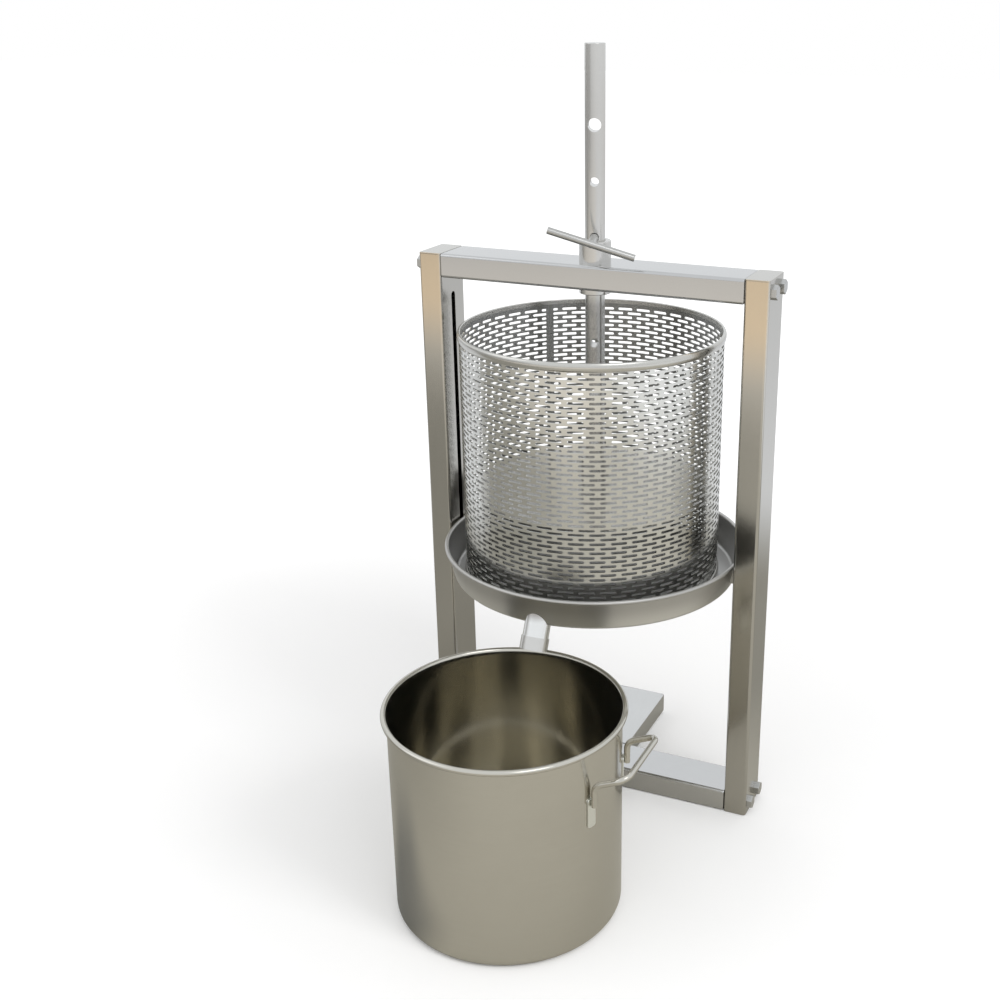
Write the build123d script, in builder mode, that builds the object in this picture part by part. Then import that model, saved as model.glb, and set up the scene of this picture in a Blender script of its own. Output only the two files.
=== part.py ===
from build123d import *
import math
import os

# A free-standing grape press: a bolted tube frame carries a ram in a collar and a juice tray in two slotted
# posts, a perforated basket stands in the tray, and a pot stands under the spout.
# Millimetres, X to the right, Y to the back, Z up, origin on the floor under the ram.

os.makedirs("parts", exist_ok=True)

# Frame
tube_wide = 50.0
tube_narrow = 25.0
tube_wall = 2.0
tube_corner = 3.0
post_gap = 325.0
frame_height = 588.0
cap = 2.0
slot_width = 8.0
slot_bottom = 262.0
slot_top = 544.0
foot_wide = 60.0
foot_back = 149.0
foot_front_reach = 119.0

# Frame bolts
bolt_radius = 4.0
bolt_flats = 13.0
bolt_head = 5.3
bolt_length = 34.0
bolt_spread = 28.0
bolt_clearance = 0.3
end_plate = 6.0

# Ram and its collar
ram_radius = 10.0
ram_top = 795.0
ram_bottom = 351.0
hole_pitch = 53.5
hole_count = 7
lever_hole_z = 720.5
lever_hole_radius = 6.5
pin_hole_radius = 4.5
hole_azimuth = 18.0
collar_radius = 16.0
collar_bottom = 556.5
collar_top = 609.3
running_fit = 0.08

# Locking pin
pin_radius = 4.0
pin_tail = 24.0
pin_reach = 47.0
bar_radius = 3.5
bar_length = 88.0
bar_tilt = -17.0

# Press plate
plate_radius = 124.0
plate_thickness = 4.0
socket_radius = 15.0
socket_height = 32.0

# Tray
sheet = 1.5
tray_bottom = 254.0
tray_bottom_radius = 151.0
tray_rim_radius = 161.2
tray_rim_top = 288.6
tray_bead = 2.2
tray_bend = 5.5
lug_thickness = 7.4
lug_height = 17.7
lug_reach = 172.0

# Spout
spout_radius = 13.0
spout_bore = 10.5
spout_ring_radius = 14.0
spout_ring_length = 13.0
spout_lean = 26.0
spout_end_y = -158.4
spout_end_z = 229.6
spout_cope = 44.0

# Basket, which stands loose in the tray a little off its middle
basket_x = -2.5
basket_y = -3.0
basket_radius = 135.0
basket_bottom = 255.8
basket_top = 519.5
hoop_bulge = 1.8
hoop_height = 8.7
hoop_slope = 30.0
rim_top = 520.2
row_count = 10
slots_per_row = 15
basket_slot_length = 42.0
basket_slot_height = 9.0
plain_band = 20.0
seam_azimuth = 133.2

# Pot
pot_x = 8.6
pot_y = -240.0
pot_radius = 111.0
pot_sheet = 1.2
pot_rim_radius = 116.3
pot_height = 214.0
pot_bend = 8.0
pot_bead = 2.8
wire_radius = 3.0
wire_bend = 11.0
handle_x = 148.0
handle_half = 40.0
handle_z = 189.5
handle_foot_z = 154.0
handle_bend_z = 176.0
tab_bottom = 131.0
tab_top = 161.0
tab_thickness = 1.5
tab_width = 10.0

# Places worked out from those sizes
post_x = post_gap / 2 + tube_narrow / 2
post_outer = post_gap / 2 + tube_narrow
low_beam_z = tube_narrow / 2
high_beam_z = frame_height - tube_narrow / 2
pin_z = lever_hole_z - 2 * hole_pitch
plate_bolt_z = ram_bottom + socket_height / 2
turn = math.radians(hole_azimuth)
hole_axis = Vector(math.sin(turn), -math.cos(turn), 0)


def tube_section(width, height):
    """Hollow rounded rectangle of frame tube, drawn in the open sketch."""
    RectangleRounded(width, height, tube_corner)
    Rectangle(width - 2 * tube_wall, height - 2 * tube_wall, mode=Mode.SUBTRACT)


def across_ram(z, reach=0.0):
    """Plane square to the ram's cross holes, at a height and a distance out from the ram's axis."""
    return Plane(origin=hole_axis * reach + Vector(0, 0, z), x_dir=(0, 0, 1), z_dir=hole_axis)


# Posts
with BuildPart() as right_post:
    with BuildSketch(Plane.XY.offset(cap)):
        with Locations((post_x, 0)):
            tube_section(tube_narrow, tube_wide)
    extrude(amount=frame_height - 2 * cap)
    with BuildSketch(Plane.YZ.offset(post_gap / 2)):
        with Locations((0, (slot_bottom + slot_top) / 2)):
            SlotOverall(slot_top - slot_bottom, slot_width, rotation=90)
    extrude(amount=tube_wall, mode=Mode.SUBTRACT)
    with BuildSketch(Plane.YZ.offset(post_gap / 2)):
        with Locations((0, low_beam_z), (0, high_beam_z)):
            with GridLocations(bolt_spread, 1, 2, 1):
                Circle(bolt_radius + bolt_clearance)
    extrude(amount=tube_narrow, mode=Mode.SUBTRACT)
right_post.part.label = "right_post"
export_step(right_post.part, "parts/right_post.step")

with BuildPart() as left_post:
    mirror(right_post.part, about=Plane.YZ)
left_post.part.label = "left_post"
export_step(left_post.part, "parts/left_post.step")

with BuildPart() as post_top_caps:
    with BuildSketch(Plane.XY.offset(frame_height - cap)):
        with GridLocations(2 * post_x, 1, 2, 1):
            RectangleRounded(tube_narrow, tube_wide, tube_corner)
    extrude(amount=cap)
post_top_caps.part.label = "post_top_caps"
export_step(post_top_caps.part, "parts/post_top_caps.step")

with BuildPart() as post_foot_caps:
    with BuildSketch(Plane.XY):
        with GridLocations(2 * post_x, 1, 2, 1):
            RectangleRounded(tube_narrow, tube_wide, tube_corner)
    extrude(amount=cap)
post_foot_caps.part.label = "post_foot_caps"
export_step(post_foot_caps.part, "parts/post_foot_caps.step")

# Beams, the upper one bored for the collar
with BuildPart() as top_beam:
    with BuildSketch(Plane.YZ.offset(-post_gap / 2)):
        with Locations((0, high_beam_z)):
            tube_section(tube_wide, tube_narrow)
    extrude(amount=post_gap)
    with Locations((0, 0, frame_height)):
        Hole(collar_radius, depth=tube_narrow)
top_beam.part.label = "top_beam"
export_step(top_beam.part, "parts/top_beam.step")

with BuildPart() as bottom_beam:
    with BuildSketch(Plane.YZ.offset(-post_gap / 2)):
        with Locations((0, low_beam_z)):
            tube_section(tube_wide, tube_narrow)
    extrude(amount=post_gap)
bottom_beam.part.label = "bottom_beam"
export_step(bottom_beam.part, "parts/bottom_beam.step")

# Tapped plates welded into the beam ends
with BuildPart() as beam_end_plates:
    for plate_start in (-post_gap / 2, post_gap / 2 - end_plate):
        with BuildSketch(Plane.YZ.offset(plate_start)):
            with Locations((0, low_beam_z), (0, high_beam_z)):
                Rectangle(tube_wide - 2 * tube_corner, tube_narrow - 2 * tube_wall)
                with GridLocations(bolt_spread, 1, 2, 1):
                    Circle(bolt_radius, mode=Mode.SUBTRACT)
        extrude(amount=end_plate)
beam_end_plates.part.label = "beam_end_plates"
export_step(beam_end_plates.part, "parts/beam_end_plates.step")

# Hex bolts, one modelled with its seat at the origin and then set eight times
with BuildPart() as frame_bolt:
    with BuildSketch(Plane.YZ):
        RegularPolygon(bolt_flats / 2, 6, major_radius=False)
    extrude(amount=bolt_head)
    chamfer(frame_bolt.faces().sort_by(Axis.X)[-1].edges(), 0.8)
    with BuildSketch(Plane.YZ):
        Circle(bolt_radius)
    extrude(amount=-bolt_length)

bolt_places = []
for side, facing in ((1, 0), (-1, 180)):
    for bolt_y in (-bolt_spread / 2, bolt_spread / 2):
        for bolt_z in (low_beam_z, high_beam_z):
            bolt_places.append(Location((side * post_outer, bolt_y, bolt_z), (0, 0, facing)))

with BuildPart() as frame_bolts:
    with Locations(*bolt_places):
        add(frame_bolt.part)
frame_bolts.part.label = "frame_bolts"
export_step(frame_bolts.part, "parts/frame_bolts.step")

# Guide collar
with BuildPart() as guide_collar:
    with BuildSketch(Plane.XY.offset(collar_bottom)):
        Circle(collar_radius)
        Circle(ram_radius + running_fit, mode=Mode.SUBTRACT)
    extrude(amount=collar_top - collar_bottom)
    collar_ends = guide_collar.edges().filter_by(GeomType.CIRCLE).group_by(Axis.Z)
    chamfer(collar_ends[0] + collar_ends[-1], 0.6)
guide_collar.part.label = "guide_collar"
export_step(guide_collar.part, "parts/guide_collar.step")

# Feet, butted against the bottom beam and closed by end plates
with BuildPart() as foot_rear:
    with BuildSketch(Plane.XZ.offset(-tube_wide / 2)):
        with Locations((0, low_beam_z)):
            tube_section(foot_wide, tube_narrow)
    extrude(amount=-(foot_back - cap - tube_wide / 2))
foot_rear.part.label = "foot_rear"
export_step(foot_rear.part, "parts/foot_rear.step")

with BuildPart() as foot_front:
    with BuildSketch(Plane.XZ.offset(tube_wide / 2)):
        with Locations((0, low_beam_z)):
            tube_section(foot_wide, tube_narrow)
    extrude(amount=foot_front_reach - cap - tube_wide / 2)
foot_front.part.label = "foot_front"
export_step(foot_front.part, "parts/foot_front.step")

with BuildPart() as foot_end_caps:
    for cap_place in (foot_front_reach - cap, -foot_back):
        with BuildSketch(Plane.XZ.offset(cap_place)):
            with Locations((0, low_beam_z)):
                RectangleRounded(foot_wide, tube_narrow, tube_corner)
        extrude(amount=cap)
foot_end_caps.part.label = "foot_end_caps"
export_step(foot_end_caps.part, "parts/foot_end_caps.step")

# Tray, one sheet from the floor up the sloped wall into a rolled rim
bead_r = tray_rim_radius - tray_bead
bead_z = tray_rim_top - tray_bead
wall_slope = (bead_r - tray_bottom_radius) / (bead_z - tray_bottom)
wall_across = sheet * math.sqrt(1 + wall_slope**2)
tray_floor = tray_bottom + sheet
inner_corner_r = tray_bottom_radius + sheet * wall_slope - wall_across
spout_end = Plane(
    origin=(0, spout_end_y, spout_end_z),
    x_dir=(1, 0, 0),
    z_dir=(0, math.sin(math.radians(spout_lean)), math.cos(math.radians(spout_lean))),
)

with BuildPart() as tray_dish:
    with BuildSketch(Plane.XZ) as tray_profile:
        with BuildLine():
            Polyline(
                (0, tray_bottom),
                (tray_bottom_radius, tray_bottom),
                (bead_r, bead_z),
                (bead_r - wall_across, bead_z),
                (inner_corner_r, tray_floor),
                (0, tray_floor),
                close=True,
            )
        make_face()
        fillet(tray_profile.vertices().sort_by_distance((tray_bottom_radius, tray_bottom))[0], tray_bend)
        with Locations((bead_r, bead_z)):
            RegularPolygon(tray_bead, 12)
    revolve(axis=Axis.Z)
    with BuildSketch(spout_end):
        Circle(spout_bore)
    extrude(amount=spout_cope, mode=Mode.SUBTRACT)
tray_dish.part.label = "tray_dish"
export_step(tray_dish.part, "parts/tray_dish.step")

# The tray's outer form as a full solid, which copes the lugs and the spout to its wall
with BuildPart() as tray_envelope:
    with BuildSketch(Plane.XZ) as envelope_profile:
        with BuildLine():
            Polyline(
                (0, tray_bottom),
                (tray_bottom_radius, tray_bottom),
                (bead_r, bead_z),
                (0, bead_z),
                close=True,
            )
        make_face()
        fillet(envelope_profile.vertices().sort_by_distance((tray_bottom_radius, tray_bottom))[0], tray_bend)
    revolve(axis=Axis.Z)

with BuildPart() as tray_lugs:
    for side in (-1, 1):
        with BuildSketch(Plane.YZ.offset(side * lug_reach)):
            with Locations((0, slot_bottom + 0.3 + lug_height / 2)):
                SlotOverall(lug_height, lug_thickness, rotation=90)
        extrude(amount=-side * (lug_reach - tray_bottom_radius))
    add(tray_envelope.part, mode=Mode.SUBTRACT)
tray_lugs.part.label = "tray_lugs"
export_step(tray_lugs.part, "parts/tray_lugs.step")

with BuildPart() as spout:
    with BuildSketch(spout_end):
        Circle(spout_radius)
        Circle(spout_bore, mode=Mode.SUBTRACT)
    extrude(amount=spout_cope)
    add(tray_envelope.part, mode=Mode.SUBTRACT)
spout.part.label = "spout"
export_step(spout.part, "parts/spout.step")

with BuildPart() as spout_ring:
    with BuildSketch(spout_end):
        Circle(spout_ring_radius)
        Circle(spout_radius, mode=Mode.SUBTRACT)
    extrude(amount=spout_ring_length)
spout_ring.part.label = "spout_ring"
export_step(spout_ring.part, "parts/spout_ring.step")

# Basket, a rolled sheet with staggered rows of slots that stop at a plain seam
slot_step = 360 / slots_per_row
lowest_row = basket_bottom + hoop_height + plain_band / 2
highest_row = rim_top - hoop_height - plain_band / 2
row_step = (highest_row - lowest_row) / (row_count - 1)
basket_slots = []
for row in range(row_count):
    for k in range(slots_per_row):
        from_seam = (k + 0.5 * (row % 2 + 1)) * slot_step
        if from_seam < 360:
            outward = Pos(basket_radius, 0, lowest_row + row * row_step)
            basket_slots.append(Pos(basket_x, basket_y) * Rot(0, 0, seam_azimuth + from_seam) * outward)

with BuildPart() as basket_wall:
    with BuildSketch(Plane.XY.offset(basket_bottom)):
        with Locations((basket_x, basket_y)):
            Circle(basket_radius)
            Circle(basket_radius - sheet, mode=Mode.SUBTRACT)
    extrude(amount=basket_top - basket_bottom)
    with Locations(*basket_slots):
        Box(8 * sheet, basket_slot_length, basket_slot_height, mode=Mode.SUBTRACT)
basket_wall.part.label = "basket_wall"
export_step(basket_wall.part, "parts/basket_wall.step")

# Half-round hoops round the basket's upper and lower edges
basket_axis = Axis((basket_x, basket_y, 0), (0, 0, 1))
basket_section = Plane.XZ.offset(-basket_y)
hoop_out = (Align.CENTER, Align.MIN)
with BuildPart() as basket_rim:
    with BuildSketch(basket_section):
        with Locations((basket_x + basket_radius, rim_top - hoop_height / 2)):
            Trapezoid(hoop_height, hoop_bulge, hoop_slope, rotation=-90, align=hoop_out)
    revolve(axis=basket_axis)
basket_rim.part.label = "basket_rim"
export_step(basket_rim.part, "parts/basket_rim.step")

with BuildPart() as basket_foot_ring:
    with BuildSketch(basket_section):
        with Locations((basket_x + basket_radius, basket_bottom + hoop_height / 2)):
            Trapezoid(hoop_height, hoop_bulge, hoop_slope, rotation=-90, align=hoop_out)
    revolve(axis=basket_axis)
basket_foot_ring.part.label = "basket_foot_ring"
export_step(basket_foot_ring.part, "parts/basket_foot_ring.step")

# Ram, a round bar with a row of cross holes, a larger one for the lever and one for the plate's bolt
with BuildPart() as press_shaft:
    with BuildSketch(Plane.XY.offset(ram_bottom)):
        Circle(ram_radius)
    extrude(amount=ram_top - ram_bottom)
    for k in range(hole_count):
        with BuildSketch(across_ram(lever_hole_z - k * hole_pitch)):
            Circle(lever_hole_radius if k == 0 else pin_hole_radius)
        extrude(amount=2 * ram_radius, both=True, mode=Mode.SUBTRACT)
    with BuildSketch(across_ram(plate_bolt_z)):
        Circle(pin_hole_radius)
    extrude(amount=2 * ram_radius, both=True, mode=Mode.SUBTRACT)
press_shaft.part.label = "press_shaft"
export_step(press_shaft.part, "parts/press_shaft.step")

# Press plate with its socket, bolted across the ram's lowest hole
with BuildPart() as press_plate:
    with BuildSketch(Plane.XY.offset(ram_bottom - plate_thickness)):
        Circle(plate_radius)
    extrude(amount=plate_thickness)
    chamfer(press_plate.edges(), 0.8)
press_plate.part.label = "press_plate"
export_step(press_plate.part, "parts/press_plate.step")

with BuildPart() as plate_socket:
    with BuildSketch(Plane.XY.offset(ram_bottom)):
        Circle(socket_radius)
        Circle(ram_radius + running_fit, mode=Mode.SUBTRACT)
    extrude(amount=socket_height)
    with BuildSketch(across_ram(plate_bolt_z)):
        Circle(pin_hole_radius)
    extrude(amount=2 * socket_radius, both=True, mode=Mode.SUBTRACT)
plate_socket.part.label = "plate_socket"
export_step(plate_socket.part, "parts/plate_socket.step")

with BuildPart() as plate_bolt:
    with BuildSketch(across_ram(plate_bolt_z, socket_radius)):
        RegularPolygon(bolt_flats / 2, 6, major_radius=False)
    extrude(amount=bolt_head)
    with BuildSketch(across_ram(plate_bolt_z, socket_radius)):
        Circle(bolt_radius)
    extrude(amount=-2 * socket_radius - 8)
plate_bolt.part.label = "plate_bolt"
export_step(plate_bolt.part, "parts/plate_bolt.step")

with BuildPart() as plate_nut:
    with BuildSketch(across_ram(plate_bolt_z, -socket_radius)):
        RegularPolygon(bolt_flats / 2, 6, major_radius=False)
        Circle(bolt_radius, mode=Mode.SUBTRACT)
    extrude(amount=-6.5)
plate_nut.part.label = "plate_nut"
export_step(plate_nut.part, "parts/plate_nut.step")

# T-handled pin, its shank coped to the bar
bar_lean = math.radians(bar_tilt)
bar_side = Vector(math.cos(turn), math.sin(turn), 0) * math.cos(bar_lean)
bar_axis = bar_side + Vector(0, 0, math.sin(bar_lean))
with BuildPart() as pin_handle_bar:
    with BuildSketch(Plane(origin=across_ram(pin_z, pin_reach).origin, z_dir=bar_axis)):
        Circle(bar_radius)
    extrude(amount=bar_length / 2, both=True)
    chamfer(pin_handle_bar.edges().filter_by(GeomType.CIRCLE), 0.5)
pin_handle_bar.part.label = "pin_handle_bar"
export_step(pin_handle_bar.part, "parts/pin_handle_bar.step")

with BuildPart() as pin_shank:
    with BuildSketch(across_ram(pin_z, -pin_tail)):
        Circle(pin_radius)
    extrude(amount=pin_tail + pin_reach)
    chamfer(pin_shank.faces().sort_by(Axis.Y)[-1].edges(), 1.0)
    add(pin_handle_bar.part, mode=Mode.SUBTRACT)
pin_shank.part.label = "pin_shank"
export_step(pin_shank.part, "parts/pin_shank.step")

# Pot
pot_axis = Axis((pot_x, pot_y, 0), (0, 0, 1))
pot_section = Plane.XZ.offset(-pot_y)
pot_bead_r = pot_rim_radius - pot_bead
pot_bead_z = pot_height - pot_bead
with BuildPart() as pot_body:
    with BuildSketch(pot_section) as pot_profile:
        with BuildLine():
            Polyline(
                (pot_x, 0),
                (pot_x + pot_radius, 0),
                (pot_x + pot_radius, pot_bead_z),
                (pot_x + pot_radius - pot_sheet, pot_bead_z),
                (pot_x + pot_radius - pot_sheet, pot_sheet),
                (pot_x, pot_sheet),
                close=True,
            )
        make_face()
        fillet(pot_profile.vertices().sort_by_distance((pot_x + pot_radius, 0))[0], pot_bend)
        with Locations((pot_x + pot_bead_r, pot_bead_z)):
            RegularPolygon(pot_bead, 12)
    revolve(axis=pot_axis)
pot_body.part.label = "pot_body"
export_step(pot_body.part, "parts/pot_body.step")

# Wire handle, from tab to tab up the wall, out and across
wire_r = pot_radius + tab_thickness + wire_radius
foot_turn = math.asin(handle_half / wire_r)
wire_foot_x = pot_x + wire_r * math.cos(foot_turn)
handle_route = []
for side, heights in ((-1, (handle_foot_z, handle_bend_z)), (1, (handle_bend_z, handle_foot_z))):
    wire_y = pot_y + side * handle_half
    leg = [(wire_foot_x, wire_y, z) for z in heights]
    corner = (handle_x, wire_y, handle_z)
    handle_route += leg + [corner] if side < 0 else [corner] + leg

with BuildPart() as pot_handle:
    with BuildLine():
        FilletPolyline(*handle_route, radius=wire_bend)
    with BuildSketch(Plane(origin=handle_route[0], z_dir=(0, 0, 1))):
        RegularPolygon(wire_radius, 12)
    sweep()
pot_handle.part.label = "pot_handle"
export_step(pot_handle.part, "parts/pot_handle.step")

tab_arc = math.degrees(tab_width / pot_radius)
with BuildPart() as handle_tabs:
    for side in (-1, 1):
        start = side * foot_turn - math.radians(tab_arc / 2)
        outward = Vector(math.cos(start), math.sin(start), 0)
        with BuildSketch(Plane(pot_axis.position, x_dir=outward, z_dir=outward.cross(Vector(0, 0, 1)))):
            with Locations((pot_radius + tab_thickness / 2, (tab_bottom + tab_top) / 2)):
                Rectangle(tab_thickness, tab_top - tab_bottom)
        revolve(axis=pot_axis, revolution_arc=tab_arc)
handle_tabs.part.label = "handle_tabs"
export_step(handle_tabs.part, "parts/handle_tabs.step")
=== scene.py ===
# %% [markdown]
# # A stainless grape press
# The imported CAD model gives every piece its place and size. This lesson dresses it: round pieces get
# clean spun meshes, the basket gets its full pattern of slots, tubes get soft edges, and every surface
# gets its own steel.

# %% Load the frame
import math

import bmesh
import bpy
from mathutils import Matrix, Vector


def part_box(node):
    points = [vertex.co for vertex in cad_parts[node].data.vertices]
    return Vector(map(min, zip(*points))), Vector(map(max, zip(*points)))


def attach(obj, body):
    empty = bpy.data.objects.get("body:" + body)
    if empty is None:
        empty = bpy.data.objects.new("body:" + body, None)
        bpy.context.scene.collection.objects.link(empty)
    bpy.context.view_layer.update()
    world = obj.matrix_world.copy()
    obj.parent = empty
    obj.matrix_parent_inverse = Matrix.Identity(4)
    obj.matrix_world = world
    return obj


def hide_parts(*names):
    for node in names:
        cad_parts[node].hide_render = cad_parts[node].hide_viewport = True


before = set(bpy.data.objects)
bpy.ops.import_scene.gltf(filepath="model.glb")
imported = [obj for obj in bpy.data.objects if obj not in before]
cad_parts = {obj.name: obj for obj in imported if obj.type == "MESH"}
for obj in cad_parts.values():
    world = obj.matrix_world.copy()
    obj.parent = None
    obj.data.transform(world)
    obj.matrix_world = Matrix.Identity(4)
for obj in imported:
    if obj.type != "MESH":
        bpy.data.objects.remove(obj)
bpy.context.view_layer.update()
scene = bpy.context.scene
scene.view_settings.view_transform = "Standard"
MM = 0.001

# %% [markdown]
# ## Camera
# The camera stands where the photograph was taken: a little to the right of the press and above it,
# looking down. The lens and the shift come from the same fit, so each piece lands on its own pixels.
# They could be tried by hand, but a fit to the corners of the frame and the round rims is quicker and
# closer.

# %% Camera
CAMERA_AZIMUTH = 22.78
CAMERA_ELEVATION = 20.88
CAMERA_DISTANCE = 1410.3 * MM
CAMERA_TARGET = Vector((0, 0, 345.1 * MM))
FOCAL_PIXELS = 1326.0
IMAGE_PIXELS = 1000.0
CENTRE_PIXEL = (595.07, 488.56)
SENSOR_WIDTH = 36.0

azimuth = math.radians(CAMERA_AZIMUTH)
elevation = math.radians(CAMERA_ELEVATION)
level = Vector((math.sin(azimuth), -math.cos(azimuth), 0))
away = level * math.cos(elevation) + Vector((0, 0, math.sin(elevation)))
camera_data = bpy.data.cameras.new("camera")
camera_data.sensor_width = SENSOR_WIDTH
camera_data.lens = FOCAL_PIXELS / IMAGE_PIXELS * SENSOR_WIDTH
camera_data.shift_x = (IMAGE_PIXELS / 2 - CENTRE_PIXEL[0]) / IMAGE_PIXELS
camera_data.shift_y = (CENTRE_PIXEL[1] - IMAGE_PIXELS / 2) / IMAGE_PIXELS
camera = bpy.data.objects.new("camera", camera_data)
camera.location = CAMERA_TARGET + away * CAMERA_DISTANCE
camera.rotation_euler = (-away).to_track_quat("-Z", "Y").to_euler()
scene.collection.objects.link(camera)
scene.camera = camera
print("camera at", tuple(round(v, 3) for v in camera.location), "lens", round(camera_data.lens, 2), "mm")

# %% [markdown]
# ## Shader maths as Python
# A finish is a small sum: a grain here, a smudge there. One class wraps a socket, so that adding and
# multiplying sockets reads like arithmetic, and one method makes every other node. The Mix node has its
# sockets once for each kind of value, under the same names, so those for colours are picked by number.

# %% Sockets with arithmetic
MIX_FACTOR, MIX_FIRST, MIX_SECOND, MIX_COLOUR = 0, 6, 7, 2


class Flow:
    """An output socket of a material's nodes, with Python's own operators."""

    def __init__(self, tree, socket=None):
        self.tree = tree
        self.socket = socket

    def node(self, kind, settings=None, inputs=None, out=0):
        """Adds a node, sets it up, feeds its sockets with values or other flows, and returns one output."""
        made = self.tree.nodes.new("ShaderNode" + kind)
        for key, value in (settings or {}).items():
            setattr(made, key, value)
        for key, value in (inputs or {}).items():
            if isinstance(value, Flow):
                self.tree.links.new(value.socket, made.inputs[key])
            else:
                made.inputs[key].default_value = value
        return Flow(self.tree, made.outputs[out])

    def math(self, operation, first, second):
        return self.node("Math", {"operation": operation}, {0: first, 1: second})

    def __add__(self, other):
        return self.math("ADD", self, other)

    def __radd__(self, other):
        return self.math("ADD", other, self)

    def __sub__(self, other):
        return self.math("SUBTRACT", self, other)

    def __rsub__(self, other):
        return self.math("SUBTRACT", other, self)

    def __mul__(self, other):
        return self.math("MULTIPLY", self, other)

    def __rmul__(self, other):
        return self.math("MULTIPLY", other, self)

    def axes(self):
        """The X, Y and Z of a vector, as three flows."""
        split = self.node("SeparateXYZ", None, {0: self}).socket.node
        return [Flow(self.tree, output) for output in split.outputs]

    def tint(self, dark, light):
        """Mixes two colours, or colour flows, by this value."""
        first, second = (c if isinstance(c, Flow) else (*c, 1) for c in (dark, light))
        inputs = {MIX_FACTOR: self, MIX_FIRST: first, MIX_SECOND: second}
        return self.node("Mix", {"data_type": "RGBA"}, inputs, out=MIX_COLOUR)

    def rise(self, low, high):
        """A soft step from 0 to 1 as this value goes from low to high."""
        settings = {"interpolation_type": "SMOOTHSTEP"}
        return self.node("MapRange", settings, {"Value": self, "From Min": low, "From Max": high})


def new_material(name):
    """A node material with a bare principled shader. Returns both, and a flow to start from."""
    material = bpy.data.materials.new(name)
    material.use_nodes = True
    shader = material.node_tree.nodes["Principled BSDF"]
    return material, shader, Flow(material.node_tree)


def feed(flow, shader, socket):
    """Links a flow to one of the shader's sockets."""
    flow.tree.links.new(flow.socket, shader.inputs[socket])


print("shader helpers ready")

# %% [markdown]
# ## Steel finishes
# All of it is stainless steel, but worked in different ways: tube is brushed along its length, turned
# pieces carry fine rings, the rolled sheet is smoother, and the pot is satin. A picture of brushed
# steel would blur close up and show seams, so each finish is the same small recipe with its own colour,
# roughness and grain direction: stretched noise for the grain, slow noise for handling marks, fine
# noise for flecks.

# %% Steel recipe
GRAIN_FINE = 1400.0
GRAIN_LONG = 18.0
GRAIN_NOISE = {"Scale": 1.0, "Detail": 3.0, "Roughness": 0.65}
GRAIN_STRENGTH = 0.25
GRAIN_DEPTH = 0.02 * MM
MARK_NOISE = {"Scale": 7.0, "Detail": 4.0, "Distortion": 0.6}
FLECK_NOISE = {"Scale": 160.0, "Detail": 2.0}
FLECK_WEAR = 0.04
NOISE_MIDDLE = 0.5
MARK_SHARE, GRAIN_SHARE, FLECK_SHARE = 0.55, 0.35, 0.10
FRONT_FACE = (-25.2 * MM, -23.4 * MM)
FACE_LEAN = 0.040


def steel(
    name, colour, roughness, grain, depth=GRAIN_DEPTH, spread=0.10, marks=0.10, height_tone=None, upright=False
):
    """Brushed stainless steel. grain names the axis along which it is brushed, or is ROUND for turned work.

    A second colour may be given, with the height at which it is full and the height at which it has
    faded; it mostly paints light or shade by height. Upright tube shows it on the front face only. Such
    tube is also a little out of true, which turns what that face mirrors."""
    material, shader, start = new_material(name)
    place = start.node("TexCoord", out="Object")
    stretch = {
        "X": (GRAIN_LONG, GRAIN_FINE, GRAIN_FINE),
        "Y": (GRAIN_FINE, GRAIN_LONG, GRAIN_FINE),
        "Z": (GRAIN_FINE, GRAIN_FINE, GRAIN_LONG),
        "ROUND": (GRAIN_LONG, GRAIN_LONG, GRAIN_FINE),
    }[grain]
    scaled = start.node("VectorMath", {"operation": "MULTIPLY"}, {0: place, 1: stretch})
    lines = start.node("TexNoise", None, {"Vector": scaled, **GRAIN_NOISE})
    smears = start.node("TexNoise", None, {"Vector": place, **MARK_NOISE})
    flecks = start.node("TexNoise", None, {"Vector": place, **FLECK_NOISE})
    wear = smears * marks + lines * spread + flecks * FLECK_WEAR
    darker = tuple(c * (1 - marks - spread) for c in colour)
    lighter = tuple(min(1.0, c * (1 + (marks + spread) / 2)) for c in colour)
    tone = smears * MARK_SHARE + lines * GRAIN_SHARE + flecks * FLECK_SHARE
    base = tone.tint(darker, lighter)
    bump = start.node("Bump", None, {"Strength": GRAIN_STRENGTH, "Distance": depth, "Height": lines})
    if height_tone:
        sideways, across, up = place.axes()
        second, full, faded = height_tone
        amount = up.rise(faded, full) if full > faded else 1 - up.rise(full, faded)
        if upright:
            amount = amount * (1 - across.rise(*FRONT_FACE))
            turned = {"Strength": 1.0, "Distance": 1.0, "Height": sideways * FACE_LEAN, "Normal": bump}
            bump = start.node("Bump", None, turned)
        base = amount.tint(base, second)
    feed(base, shader, "Base Color")
    feed(wear + (roughness - NOISE_MIDDLE * (marks + spread)), shader, "Roughness")
    feed(bump, shader, "Normal")
    shader.inputs["Metallic"].default_value = 1.0
    return material


print("steel recipe ready")

# %% [markdown]
# Some pieces change colour with height: the posts' upper front faces carry a painted warm reflection,
# the tray's lower edge a painted highlight and the pot's bottom painted shade inside, while the spout is
# darker towards its top, where it meets the tray. Each is a second colour and two heights.

# %% Frame and ram finishes
# Painted reflection: a warm tone on the upper front faces of the posts, on the front face only.
POST_PAINTED_REFLECTION = ((0.67, 0.56, 0.42), 550 * MM, 470 * MM)

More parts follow.
